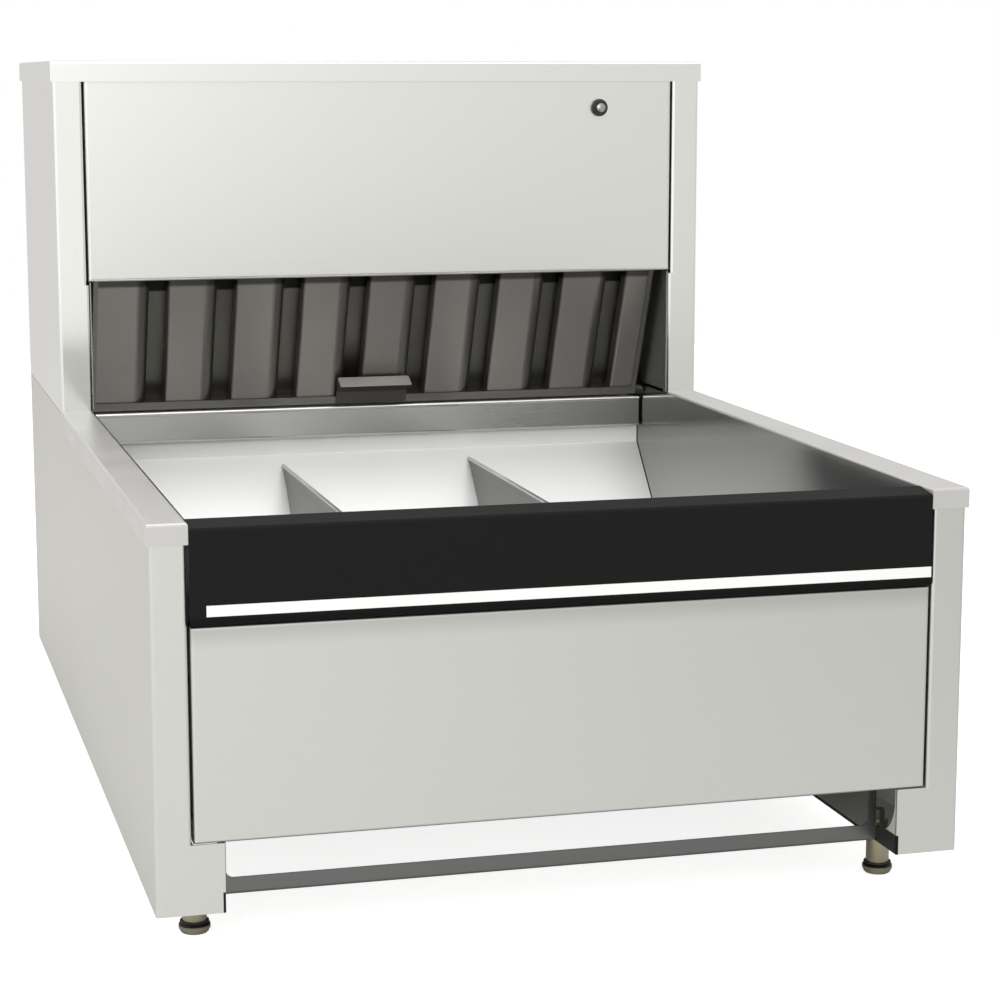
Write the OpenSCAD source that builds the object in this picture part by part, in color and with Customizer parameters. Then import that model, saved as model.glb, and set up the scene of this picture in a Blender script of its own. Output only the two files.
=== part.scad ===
// Countertop warmer for chips: a stainless cabinet with a sloped, divided well in front and a
// hood at the rear. A blower draws air through a baffle filter, drives it down past the heating
// elements and up through perforated screens in the floor of the well.
// Lengths are in millimetres. Depth y is measured from the face of the front columns.

/* [Cabinet] */
// Width over the side panels
case_w = 562; // [540:2:620]
// Height from the counter to the top of the deck
deck_z = 290; // [286:1:298]
// Height from the deck to the top of the hood
hood_h = 290.3; // [276:0.1:320]
// Depth of the open deck in front of the hood
deck_d = 557.6; // [500:0.1:620]
// Depth of the hood, from its door to the back panels
hood_d = 308.4; // [284:0.1:340]

/* [Sheet metal] */
// Thickness of the casing sheet
sheet = 1.2; // [1:0.1:1.4]
// Thickness of the inner sheet
thin_sheet = 1; // [0.8:0.1:1.2]
// Outer radius of a fold
bend_r = 2.4; // [1.8:0.1:3]
// Gap between sheets that are fastened together
seam = 0.2; // [0.1:0.05:0.3]
// Depth of the folded edge behind a panel
fold_d = 12; // [9:1:14]
// Gap between a column and the panel or door beside it
panel_gap = 1.5; // [1:0.5:3]

/* [Columns and legs] */
// Width of a column beside the front panel and the door
column_w = 24; // [22:0.5:28]
// How much wider a hood column is below the door
post_step = 2; // [1.8:0.1:3]
// Width of the face of a leg
leg_w = 45.5; // [42:0.5:50]
// Height of a leg from the bottom of the side panel
leg_h = 47; // [44:1:52]
// Depth of the folded edge behind a leg
leg_fold_d = 35.2; // [33:0.1:40]
// Radius of the curve cut into that edge
leg_curve_r = 26.5; // [24:0.5:28]

/* [Caps] */
// Height of the edge of the deck caps
deck_edge_h = 14.4; // [12:0.1:16]
// Height of the edge of the hood cap
hood_edge_h = 16.9; // [14:0.1:18]
// How far the caps stand out at the sides
cap_over = 1.6; // [1.6:0.1:3]
// How far a deck cap reaches inwards past its column
cap_in = 1.5; // [1.5:0.1:3]
// How far the hood cap and the front band stand out at the back and the front
face_over = 2; // [1.8:0.1:2.4]

/* [Front] */
// Height of the lower front panel
panel_h = 143.6; // [138:0.1:145]
// Depth of the flat top of the front band
band_top_d = 21; // [18:1:23]
// Rise of that top towards the rear
band_rise = 2.8; // [2:0.1:3.4]
// How far the band's top stays below the deck
band_down = 1.5; // [1:0.1:2]
// Height of the white stripe
stripe_h = 7.3; // [6:0.1:10]
// Height of the stripe above the bottom of the band
stripe_up = 6.1; // [4:0.1:8]
// Bare length at the left end of the stripe
stripe_inset = 10.5; // [6:0.5:20]
// Thickness of the stripe
stripe_t = 0.25; // [0.2:0.05:0.4]
// Height of the door's lower edge above the deck
door_up = 108.5; // [104:0.5:112]

/* [Cross bars] */
// Depth of the front bar behind the columns
bar_y = 35; // [33:0.5:34.9]
// Height of a cross bar
bar_h = 12; // [10:0.5:14]
// Width of the upright at each end of a bar
bar_end_w = 5.5; // [5:0.5:8]
// Radius of the inner corners of a bar
bar_r = 5; // [3:0.5:5]
// Depth of the folded bottom edge of a bar
bar_fold_d = 16; // [12:1:20]

/* [Feet] */
// Height of the feet when they are screwed in
foot_h = 31.2; // [30:0.1:34]
// Distance from the side face to the middle of a foot
foot_inset_x = 33; // [31:0.5:33]
// Distance from the front or back face to the middle of a foot
foot_inset_y = 59.5; // [56:0.5:70]
// Diameter of the barrel of a foot
barrel_d = 16.5; // [16:0.5:18]
// Height of the part of a foot below its barrel
tip_h = 7; // [6:0.5:9]
// Diameter of the disc of a foot
tip_d = 21.5; // [20:0.5:24]
// Radius of the adjusting stem
stem_r = 4; // [3.5:0.1:4.5]

/* [Well] */
// Gap between the slopes of the well and its walls
slope_gap = 0.6; // [0.4:0.1:1]
// Depth of the rim of the well behind the columns
well_front_y = 22; // [22:0.5:24]
// Distance from the door back to the rear edge of the well
well_rear_in = 81.9; // [80:0.1:84]
// Height at which the rear slope starts
rear_slope_z = 233.8; // [230:0.1:236]
// Angle of the rear slope above level
rear_slope = 46.1; // [44:0.1:48]
// Angle of the front slope from upright
front_slope = 30; // [28:0.5:32]
// Height at which the front slope starts
front_slope_z = 280; // [276:1:281]
// Height of the screens in the floor of the well
floor_z = 128; // [126:1:132]
// Height of the bottom of the well
tray_z = 93.2; // [93:0.1:95]
// Clearance of pieces that lift out of the well
lift_gap = 1.2; // [1:0.1:1.5]
// Width of the ledge that the crumb tray rests on
ledge_w = 15; // [12:1:18]

/* [Dividers] */
// Distance from the middle of the well to the left divider
divider_left_x = 80.5; // [70:0.5:95]
// Distance from the middle of the well to the right divider
divider_right_x = 90.5; // [70:0.5:95]
// Height of the upper edge of the dividers
divider_top_z = 227; // [220:0.5:228]
// Radius of the rolled upper edge
divider_roll_r = 1.5; // [1.2:0.1:2]
// Width of the groove that holds a divider
groove_w = 1.8; // [1.6:0.1:2.2]
// Depth of that groove
groove_d = 14; // [10:1:16]

/* [Screens] */
// Length of a slot
slot_l = 30; // [20:1:32]
// Width of a slot
slot_w = 6; // [4:0.5:7]
// Spacing of the slots across a screen
slot_pitch_x = 38; // [36:1:44]
// Spacing of the slots from front to back
slot_pitch_y = 20; // [16:1:26]
// Depth of the folded edge of a screen
screen_fold = 4.6; // [4:0.1:4.6]

/* [Filter] */
// Gap between the filter and the sides of the plenum
filter_side_gap = 4.8; // [3:0.1:6]
// Height of the filter along its slope
filter_l = 133; // [130:0.5:133]
// Thickness of the filter
filter_t = 22; // [20:1:24]
// Lean of the filter from upright
filter_lean = 23.67; // [23:0.1:24.5]
// Distance from the door back to the lower edge of the filter
filter_in = 74.7; // [74.7:0.1:75.4]
// Height of the lower edge of the filter
filter_z = 279.2; // [279.1:0.1:279.6]
// Width of a gap between the front baffles
gap_w = 15; // [13:0.5:17]
// Spacing of the gaps
gap_pitch = 58.47; // [56:0.01:60]
// Distance from the last gap to the right end of the filter
gap_end = 24.9; // [24.9:0.1:30]
// Least width of the first baffle
first_baffle_w = 40; // [30:1:44]
// Height of the frame below the gaps
filter_foot_h = 7.6; // [7:0.1:9]
// Height of the frame above the gaps
filter_head_h = 5; // [4:0.5:6]
// Thickness of the filter's sheet
baffle_t = 1; // [0.8:0.1:1.2]
// Depth of a baffle's folded edge
baffle_fold = 12.5; // [11:0.5:13]
// Outer radius of the right edge of a front baffle
baffle_r = 12; // [6:0.5:12]
// Width of the frame's border at the ends of the filter
frame_side_w = 4; // [3:0.5:8]
// How far the rear baffles reach behind the front ones
baffle_lap = 8; // [6:0.5:9]

/* [Filter handle] */
// Width of the handle
handle_w = 64; // [50:1:74]
// How far the handle's lip stands out from the filter
handle_out = 16; // [12:0.5:17]
// Height of the lip above the lower edge of the filter
handle_up = 28; // [24:0.5:30]
// Thickness of the handle
handle_t = 1.5; // [1.2:0.1:2]
// Distance from the handle's right end to the gap beside it
handle_edge = 1.7; // [1:0.1:3]

/* [Gutter] */
// Distance from the door back to the face of the gutter
gutter_in = 72.4; // [71.4:0.1:72.4]
// Gap between the gutter and the walls of the well
gutter_gap = 1.9; // [1:0.1:3]
// Radius of the hem on the gutter's face
hem_r = 2; // [1.4:0.1:2]
// Height of the top of the gutter's face
gutter_top_z = 277.6; // [277:0.1:277.8]
// Height of the bottom of the gutter
gutter_z = 250; // [248:0.5:252]
// Width of the gutter
gutter_w = 32; // [30:1:34]
// Height of the gutter's rear edge
gutter_back_h = 34; // [32:1:36]

/* [Plenum] */
// Distance of the plenum's roof below the top of the hood
roof_down = 75.3; // [68:0.1:80]
// Distance from the door back to the plenum's back wall
plenum_d = 132.4; // [130:0.1:134]
// Height of the plenum above the deck seam
plenum_up = 1.2; // [1:0.1:1.4]

/* [Blower] */
// Height of the blower's axis
blower_z = 400; // [396:1:406]
// Outer radius of the wheel
wheel_r = 70; // [66:1:72]
// Length of the blades
blade_l = 50; // [44:1:52]
// Number of blades
blade_n = 28; // [20:1:32]
// Thickness of a blade
blade_t = 0.9; // [0.8:0.1:1.2]
// Radial depth of a blade
blade_d = 15; // [12:1:16]
// Radius of the scroll where it starts
scroll_r = 84; // [80:1:86]
// Growth of the scroll's radius in each quarter
scroll_step = 10; // [8:1:12]
// Depth of the scroll
scroll_d = 66; // [64:1:68]
// Radius of the scroll's inlet
inlet_r = 50; // [44:1:52]
// Left edge of the scroll's outlet
outlet_x = 30; // [26:1:34]

/* [Motor] */
// Radius of the motor
motor_r = 41; // [38:1:44]
// Length of the motor
motor_l = 72; // [64:1:76]
// Radius of the motor's shaft
shaft_r = 4; // [3:0.5:5]
// Radial running clearance of the shaft
shaft_gap = 0.05; // [0.03:0.01:0.08]

/* [Air duct] */
// Depth of the duct behind the plenum's back wall
duct_d = 76; // [72:1:82]
// Distance from a wall of the well to the side of the duct
duct_in = 4.3; // [3:0.1:10]
// Height of the gap through which air enters below the screens
air_gap_h = 16; // [12:1:17]

/* [Heater] */
// Number of heating elements
heater_n = 3; // [2:1:3]
// Radius of an element's tube
heater_r = 4; // [3:0.5:4.5]
// Radius of an element's turn
heater_turn_r = 14; // [12:1:16]
// Spacing of the elements
heater_pitch = 26; // [24:1:28]
// Height of the elements
heater_z = 176; // [170:1:190]

/* [Controls behind the door] */
// Width of the terminal block
terminal_w = 90; // [60:15:105]
// Spacing of the terminals
terminal_pitch = 15; // [14:0.5:16]
// Distance of the terminal block to the right of the middle
terminal_x = 115; // [110:1:120]
// Distance of the thermostat to the left of the middle
thermostat_x = 88; // [70:1:110]
// Width of the thermostat
thermostat_w = 44; // [36:1:50]
// Distance of both behind the door
control_in = 40; // [34:1:44]

/* [Switch] */
// Distance of the switch from the side of the case
switch_side = 91.5; // [80:0.5:100]
// Distance of the switch below the top of the hood
switch_down = 39.4; // [38:0.1:44]
// Outer radius of the switch's ring
switch_r = 7.4; // [7.2:0.1:9]
// Height of the ring
switch_ring_h = 3; // [2:0.5:4]
// Radius of the switch's threaded neck
switch_neck_r = 5.6; // [5.2:0.1:6]
// Radius of the button
button_r = 3.8; // [3.4:0.1:4.2]
// How far the button stands out of the ring
button_out = 4.5; // [4:0.5:6]
// Travel of the button
button_travel = 3; // [2:0.5:3]
// Radial running clearance of the button
button_gap = 0.08; // [0.05:0.01:0.1]

/* [Back panels] */
// Distance from the side of the case to the screws of the back panels
screw_in = 11; // [9:0.5:13]
// Length of the slots in the hood's back panel
vent_l = 90; // [60:2:110]
// Width of those slots
vent_w = 6; // [4:0.5:7]
// Distance of the slots from the middle
vent_x = 110; // [100:1:140]

/* [Cord gland] */
// Radius of the gland's bore
gland_r = 5.5; // [4:0.5:6]
// Radius of the hole that the gland snaps into
gland_hole_r = 11; // [10:0.5:12]
// Distance of the gland to the right of the middle
gland_x = 180; // [160:5:200]
// Height of the gland
gland_z = 150; // [140:5:200]

/* [Hidden] */
$fn = 96;

steel = [0.80, 0.80, 0.78];
inner_steel = [0.62, 0.62, 0.61];
filter_steel = [0.42, 0.40, 0.37];
black = [0.10, 0.10, 0.10];
white = [0.96, 0.96, 0.95];
foot_metal = [0.50, 0.49, 0.42];
zinc = [0.72, 0.72, 0.70];
motor_grey = [0.30, 0.31, 0.32];
wool = [0.86, 0.82, 0.62];

case_d = deck_d + hood_d;
half_w = case_w / 2;
column_x = half_w - column_w;
panel_w = 2 * (column_x - panel_gap);
post_x = column_x - post_step;
leg_x = half_w - leg_w;
leg_top_z = foot_h + leg_h;
side_top_z = deck_z - sheet - 0.6;
hood_top_z = deck_z + hood_h;
side_back_y = case_d - sheet - seam;
cap_in_x = column_x - cap_in;
cap_out_x = half_w + cap_over;
well_w = 2 * (cap_in_x - seam - thin_sheet);
well_rear_y = deck_d + well_rear_in;
door_z = deck_z + door_up;
door_top_z = hood_top_z - sheet - 1.6;
back_top_z = hood_top_z - hood_edge_h - 0.4;
panel_z = leg_top_z + seam;
band_z = panel_z + panel_h + 0.4;
band_w = 2 * (cap_in_x - seam);
band_y = stripe_t - face_over;
foot_x = half_w - foot_inset_x;
inner_w = well_w - 2 * slope_gap;
plenum_x = post_x - seam - thin_sheet;
plenum_y = deck_d + plenum_d;
roof_z = hood_top_z - roof_down;
filter_w = 2 * (plenum_x - filter_side_gap);
filter_y = deck_d + filter_in;
filter_seam = 0.3;
gap_n = floor((filter_w - gap_end - gap_w - first_baffle_w) / gap_pitch) + 1;
gutter_y = deck_d + gutter_in;
switch_x = half_w - switch_side;
switch_z = hood_top_z - switch_down;
blower_y = plenum_y + thin_sheet + seam;
motor_y = blower_y + scroll_d + thin_sheet + 2 * seam;
scroll_end_x = scroll_r + 2 * scroll_step;
dividers = [-divider_left_x, divider_right_x];
duct_y = plenum_y + duct_d;
duct_w = well_w - 2 * duct_in;
duct_top_z = gutter_z - thin_sheet - 0.6;
base_screws = screw_rows(leg_top_z + seam, deck_z - 0.4);
hood_screws = screw_rows(deck_z, back_top_z);

// Heights and depths that both slopes of the well share
function front_face_y(z) = well_front_y + (front_slope_z - z) * tan(front_slope);
function rear_face_y(z) = well_rear_y - (rear_slope_z - z) / tan(rear_slope);
function unit(v) = v / norm(v);
function left_of(v) = [-v[1], v[0]];
function turn_sine(a, b) = a[0] * b[1] - a[1] * b[0];

// Heights of the screws that hold a back panel, from its bottom and top
function screw_rows(low, high) = [low + 18, (low + high) / 2, high - 18];

// Length that a fold takes from each of the two flats beside corner i of a path. Flats that
// meet at a slant run a hair further, so that rounding leaves no gap beside the arc
function fold_trim(path, i, t, r) =
    let (a = unit(path[i] - path[i - 1]), b = unit(path[i + 1] - path[i]), s = turn_sine(a, b))
    (s > 0 ? r : r - t) * abs(s) / (1 + a * b) - (abs(a * b) < 0.001 ? 0 : 0.02);

// Puts a piece drawn with y from the front columns into the part's own frame
module from_front() {
    translate([0, -case_d / 2, 0]) children();
}

// Section with its own x as depth and its own y as height, drawn out from x0 to x1
module along_x(x0, x1) {
    translate([x0, 0, 0]) rotate([90, 0, 90]) linear_extrude(x1 - x0) children();
}

// Section with its own x as width and its own y as height, drawn out from y0 to y1
module along_y(y0, y1) {
    translate([0, y1, 0]) rotate([90, 0, 0]) linear_extrude(y1 - y0) children();
}

module along_z(z0, z1) {
    translate([0, 0, z0]) linear_extrude(z1 - z0) children();
}

module block(low, high) {
    translate(low) cube(high - low);
}

module both_sides() {
    children();
    mirror([1, 0, 0]) children();
}

// Round arc of a fold at corner b between a and c
module fold_arc(a, b, c, t, r) {
    da = unit(b - a);
    dc = unit(c - b);
    s = turn_sine(da, dc);
    trim = (s > 0 ? r : r - t) * abs(s) / (1 + da * dc);
    side = s > 0 ? left_of(da) * r : -left_of(da) * (r - t);
    middle = b - da * trim + side;
    e1 = unit(b - da * trim - middle);
    e2 = unit(b + dc * trim - middle);
    translate(middle) intersection() {
        difference() {
            circle(r);
            circle(r - t);
        }
        polygon([[0, 0], e1 * 4 * r, (e1 + e2) * 4 * r, e2 * 4 * r]);
    }
}

// Folded sheet seen on edge. The path is one face, with the metal on its left
module folded(path, t = sheet, r = bend_r) {
    last = len(path) - 1;
    for (i = [0:last - 1]) {
        along = unit(path[i + 1] - path[i]);
        across = left_of(along) * t;
        p = path[i] + (i == 0 ? 0 : fold_trim(path, i, t, r)) * along;
        q = path[i + 1] - (i == last - 1 ? 0 : fold_trim(path, i + 1, t, r)) * along;
        polygon([p, q, q + across, p + across]);
    }
    for (i = [1:last - 1]) fold_arc(path[i - 1], path[i], path[i + 1], t, r);
}

// Rectangle whose two upper corners are rounded
module arch(x0, x1, z0, z1, r) {
    translate([x0, z0]) square([x1 - x0, z1 - z0 - r]);
    translate([x0 + r, z0]) square([x1 - x0 - 2 * r, z1 - z0]);
    for (x = [x0 + r, x1 - r]) translate([x, z1 - r]) circle(r);
}

// Solid block whose four upper edges are rounded
module cap_block(low, high, r) {
    intersection() {
        along_x(low[0], high[0]) arch(low[1], high[1], low[2], high[2], r);
        along_y(low[1], high[1]) arch(low[0], high[0], low[2], high[2], r);
    }
}

// Shallow pan of folded sheet, open below
module cap_shell(low, high, t = sheet, r = bend_r) {
    difference() {
        cap_block(low, high, r);
        cap_block(low + [t, t, -1], high - [t, t, t], r - t);
    }
}

// Pan like that with its flat face to the front
module face_pan(x0, x1, z0, z1, y, t = sheet, r = bend_r) {
    translate([0, y, 0]) rotate([90, 0, 0]) cap_shell([x0, z0, -fold_d], [x1, z1, 0], t, r);
}

module stadium(l, w) {
    square([l - w, w], center = true);
    for (x = [-1, 1]) translate([x * (l - w) / 2, 0]) circle(d = w);
}

// Low domed head with a shank behind it, pointing along +z
module screw(head_r, head_h, shank_r, shank_l) {
    dome_r = (head_r * head_r + head_h * head_h) / (2 * head_h);
    intersection() {
        cylinder(r = head_r, h = head_h);
        translate([0, 0, head_h - dome_r]) sphere(dome_r);
    }
    translate([0, 0, -shank_l]) cylinder(r = shank_r, h = shank_l);
}

// Holes for the screws of a back panel, through the panel and the flange behind it
module screw_holes(rows) {
    for (z = rows) translate([half_w - screw_in, case_d + 1, z]) rotate([90, 0, 0])
        cylinder(r = 2.1, h = 9);
}

// Edge folded back from the face of a leg, with its concave cut
module leg_fold() {
    along_x(leg_x, leg_x + sheet) difference() {
        translate([sheet / 2, foot_h]) square([leg_fold_d - sheet / 2, leg_h]);
        translate([leg_curve_r + 3.5, foot_h + bar_h + leg_curve_r - 1]) circle(leg_curve_r);
        translate([3.5, foot_h + bar_h + leg_curve_r - 1]) square([leg_fold_d, leg_h]);
    }
}

// Right side panel of the base: face, columns, legs and the flange that the feet hang from
module side_shell() {
    difference() {
        union() {
            along_z(leg_top_z, side_top_z) folded([[column_x, fold_d], [column_x, 0],
                [half_w, 0], [half_w, side_back_y], [column_x, side_back_y]]);
            along_z(foot_h, leg_top_z) folded([[leg_x, 0], [half_w, 0],
                [half_w, side_back_y], [leg_x, side_back_y]]);
            block([leg_x, sheet / 2, foot_h],
                [half_w - sheet / 2, side_back_y - sheet / 2, foot_h + sheet]);
            leg_fold();
            translate([0, side_back_y, 0]) mirror([0, 1, 0]) leg_fold();
        }
        for (y = [foot_inset_y, case_d - foot_inset_y])
            translate([foot_x, y, foot_h - 1]) cylinder(r = stem_r + 0.6, h = sheet + 2);
        screw_holes(base_screws);
    }
}

module side_left() {
    color(steel) from_front() mirror([1, 0, 0]) side_shell();
}

module side_right() {
    color(steel) from_front() side_shell();
}

// Folded rail on top of the right side panel, butted against the hood at its rear end
module deck_cap() {
    front = -sheet - seam;
    intersection() {
        cap_shell([cap_in_x, front, deck_z - deck_edge_h], [cap_out_x, case_d, deck_z]);
        block([0, front - 1, 0], [case_w, deck_d - seam, deck_z + 1]);
    }
}

module deck_cap_left() {
    color(steel) from_front() mirror([1, 0, 0]) deck_cap();
}

module deck_cap_right() {
    color(steel) from_front() deck_cap();
}

// Right side of the hood, with a column that is wider below the door than beside it
module hood_side() {
    low = side_top_z + 0.4;
    step = door_z - 3;
    top = hood_top_z - sheet - 0.6;
    difference() {
        union() {
            along_z(low, step) folded([[post_x, deck_d + fold_d], [post_x, deck_d],
                [half_w, deck_d], [half_w, side_back_y], [column_x, side_back_y]]);
            along_z(step, top) folded([[column_x, deck_d + fold_d], [column_x, deck_d],
                [half_w, deck_d], [half_w, side_back_y], [column_x, side_back_y]]);
        }
        screw_holes(hood_screws);
    }
}

module hood_side_left() {
    color(steel) from_front() mirror([1, 0, 0]) hood_side();
}

module hood_side_right() {
    color(steel) from_front() hood_side();
}

module hood_cap() {
    color(steel) from_front()
        cap_shell([-cap_out_x, deck_d - sheet - seam, hood_top_z - hood_edge_h],
            [cap_out_x, case_d + face_over, hood_top_z]);
}

module hood_door() {
    color(steel) from_front() difference() {
        face_pan(-panel_w / 2, panel_w / 2, door_z, door_top_z, deck_d);
        translate([switch_x, deck_d - 1, switch_z]) rotate([-90, 0, 0])
            cylinder(r = switch_neck_r + 0.1, h = sheet + 2);
    }
}

module back_sheet(low, high, rows) {
    x = half_w - 0.6;
    difference() {
        block([-x, case_d - sheet, low], [x, case_d, high]);
        both_sides() screw_holes(rows);
    }
}

// Upper back panel, with slots that let the motor's heat out
module hood_back() {
    color(steel) from_front() difference() {
        back_sheet(deck_z, back_top_z, hood_screws);
        for (side = [-1, 1], row = [0:7])
            translate([side * vent_x, case_d + 1, blower_z - 56 + row * 16]) rotate([90, 0, 0])
                linear_extrude(sheet + 2) stadium(vent_l, vent_w);
    }
}

module base_back() {
    color(steel) from_front() difference() {
        back_sheet(leg_top_z + seam, deck_z - 0.4, base_screws);
        translate([gland_x, case_d + 1, gland_z]) rotate([90, 0, 0])
            cylinder(r = gland_hole_r, h = sheet + 2);
    }
}

// Bottom of the cabinet, with an upturned edge all round
module base_pan() {
    edge = half_w - sheet - seam;
    color(steel) from_front() translate([0, 0, 2 * leg_top_z + seam + fold_d]) mirror([0, 0, 1])
        cap_shell([-edge, fold_d + 3.5, leg_top_z], [edge, side_back_y - sheet - seam,
            leg_top_z + fold_d]);
}

// Bar between the legs: a low strip with a folded bottom edge and an upright at each end
module crossbar() {
    x = leg_x - 0.3;
    top = leg_top_z - seam;
    along_y(bar_y, bar_y + sheet) difference() {
        translate([-x, foot_h + bend_r]) square([2 * x, top - foot_h - bend_r]);
        translate([-x + bar_end_w, foot_h + bar_h + bar_r])
            square([2 * (x - bar_end_w), leg_h]);
        translate([-x + bar_end_w + bar_r, foot_h + bar_h])
            square([2 * (x - bar_end_w - bar_r), leg_h]);
        for (side = [-1, 1])
            translate([side * (x - bar_end_w - bar_r), foot_h + bar_h + bar_r]) circle(bar_r);
    }
    along_x(-x, x) folded([[bar_y, foot_h + bend_r + 0.6], [bar_y, foot_h + 0.2],
        [bar_y + bar_fold_d, foot_h + 0.2]]);
}

module crossbar_front() {
    color(inner_steel) from_front() crossbar();
}

module crossbar_rear() {
    color(inner_steel) from_front() translate([0, side_back_y, 0]) mirror([0, 1, 0]) crossbar();
}

module front_panel() {
    color(steel) from_front()
        face_pan(-panel_w / 2, panel_w / 2, panel_z, panel_z + panel_h, 0);
}

// Black band over the front of the well, proud of the panel below it
module front_band() {
    top = deck_z - band_down;
    color(black) from_front() along_x(-band_w / 2, band_w / 2)
        folded([[band_top_d, top], [band_y, top - band_rise], [band_y, band_z],
            [band_y + fold_d, band_z]]);
}

module band_stripe() {
    z = band_z + stripe_up;
    color(white) from_front() block([-band_w / 2 + stripe_inset, band_y - stripe_t, z],
        [band_w / 2, band_y, z + stripe_h]);
}

// Front slope of the well, from the rim down to the ledge that carries the crumb tray
module well_front() {
    rim_z = deck_z - band_down - band_rise - sheet + 0.4;
    color(inner_steel) from_front() along_x(-inner_w / 2, inner_w / 2)
        folded([[front_face_y(tray_z) + ledge_w, tray_z], [front_face_y(tray_z), tray_z],
            [well_front_y, front_slope_z], [well_front_y, rim_z], [well_front_y - 13, rim_z]],
            thin_sheet);
}

// Rear slope of the well, which hangs below the gutter and ends above the air gap
module well_rear() {
    low = floor_z - 2;
    color(inner_steel) from_front() along_x(-inner_w / 2, inner_w / 2)
        folded([[well_rear_y, gutter_z - 0.4], [well_rear_y, rear_slope_z],
            [rear_face_y(low), low], [rear_face_y(low), low - 5]], thin_sheet);
}

module well_wall() {
    x = well_w / 2;
    block([x, well_front_y + seam, tray_z + seam],
        [x + thin_sheet, gutter_y + gutter_w - seam, side_top_z]);
}

module well_wall_left() {
    color(inner_steel) from_front() mirror([1, 0, 0]) well_wall();
}

module well_wall_right() {
    color(inner_steel) from_front() well_wall();
}

// Gutter below the filter: hemmed face, trough and a rear edge that meets the plenum's back
module filter_gutter() {
    back = gutter_y + gutter_w;
    top = gutter_z + gutter_back_h;
    hem_z = gutter_top_z - hem_r;
    end = well_w / 2 - gutter_gap;
    color(inner_steel) from_front() along_x(-end, end) {
        folded([[gutter_y, hem_z], [gutter_y, gutter_z], [back, gutter_z], [back, top],
            [plenum_y - seam, top]]);
        translate([gutter_y + sheet / 2, hem_z]) circle(hem_r);
        translate([gutter_y + sheet, hem_z - 8]) square([sheet, 8]);
    }
}

// Moves a piece drawn on the filter's own slope to its place. Its x runs across the hood, its
// y square into the filter and its z up along the slope
module on_filter() {
    from_front() translate([0, filter_y, filter_z]) rotate([filter_lean, 0, 0]) children();
}

// Side wall of the plenum, cut back behind the door, with a strip that backs the filter
module plenum_side() {
    x = plenum_x;
    front = deck_d + sheet;
    low = deck_z + plenum_up;
    step = deck_d + fold_d + 2;
    from_front() along_x(x, x + thin_sheet) polygon([[front, low], [plenum_y - seam, low],
        [plenum_y - seam, roof_z - seam], [step, roof_z - seam], [step, door_z - 1],
        [front, door_z - 1]]);
    on_filter() block([filter_w / 2 - 8, filter_t + filter_seam, 10],
        [x + thin_sheet / 2, filter_t + filter_seam + thin_sheet, filter_l - 6]);
}

module plenum_side_left() {
    color(inner_steel) mirror([1, 0, 0]) plenum_side();
}

module plenum_side_right() {
    color(inner_steel) plenum_side();
}

// Shelf over the plenum, which also carries the controls behind the door
module plenum_roof() {
    x = plenum_x + thin_sheet;
    color(inner_steel) from_front() along_x(-x, x)
        folded([[deck_d + fold_d + 2, roof_z + fold_d], [deck_d + fold_d + 2, roof_z],
            [plenum_y - seam, roof_z]], thin_sheet);
}

// Wall between the plenum and the blower, with the opening of the blower's inlet
module plenum_back() {
    x = half_w - sheet - seam;
    color(inner_steel) from_front() difference() {
        block([-x, plenum_y, deck_z + plenum_up],
            [x, plenum_y + thin_sheet, hood_top_z - sheet - 2 * seam]);
        translate([0, plenum_y - 1, blower_z]) rotate([-90, 0, 0])
            cylinder(r = inlet_r, h = thin_sheet + 2);
    }
}

// Outline of the scroll, grown outwards by e. Three arcs of rising radius join tangentially
module scroll_outline(e, low) {
    s = scroll_step;
    far = 2 * scroll_end_x;
    intersection() {
        circle(scroll_r + e);
        translate([-far, -far]) square(far);
    }
    translate([s, 0]) intersection() {
        circle(scroll_r + s + e);
        translate([-far, 0]) square(far);
    }
    translate([s, -s]) intersection() {
        circle(scroll_r + 2 * s + e);
        square(far);
    }
    translate([0, -s]) square([s, scroll_r + 2 * s + e]);
    translate([0, -s]) square([scroll_end_x + s + e, s]);
    intersection() {
        circle(scroll_r + e);
        translate([0, -far]) square(far);
    }
    translate([outlet_x - e, low]) square([scroll_end_x + s - outlet_x + 2 * e, -low]);
}

module at_blower(y) {
    from_front() translate([0, y, blower_z]) rotate([90, 0, 0]) children();
}

// Spiral housing: front plate with the inlet, wrap, and an outlet neck that ends in the duct
module blower_scroll() {
    low = duct_top_z - blower_z;
    color(zinc) difference() {
        at_blower(blower_y + scroll_d) linear_extrude(scroll_d) scroll_outline(thin_sheet, low);
        at_blower(blower_y + scroll_d + 1) linear_extrude(scroll_d + 1 - thin_sheet)
            scroll_outline(0, low - 1);
        at_blower(blower_y + thin_sheet + 1) cylinder(r = inlet_r, h = thin_sheet + 2);
    }
}

// Rear plate of the scroll, which carries the motor
module scroll_back() {
    low = duct_top_z - blower_z + 30;
    y = blower_y + scroll_d + seam + thin_sheet;
    color(zinc) difference() {
        at_blower(y) linear_extrude(thin_sheet) scroll_outline(thin_sheet + 4, low);
        at_blower(y + 1) cylinder(r = shaft_r + 6, h = thin_sheet + 2);
        for (a = [45:90:315]) at_blower(y + 1) rotate([0, 0, a])
            translate([motor_r - 9, 0, 0]) cylinder(r = 2.1, h = thin_sheet + 2);
    }
}

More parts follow.
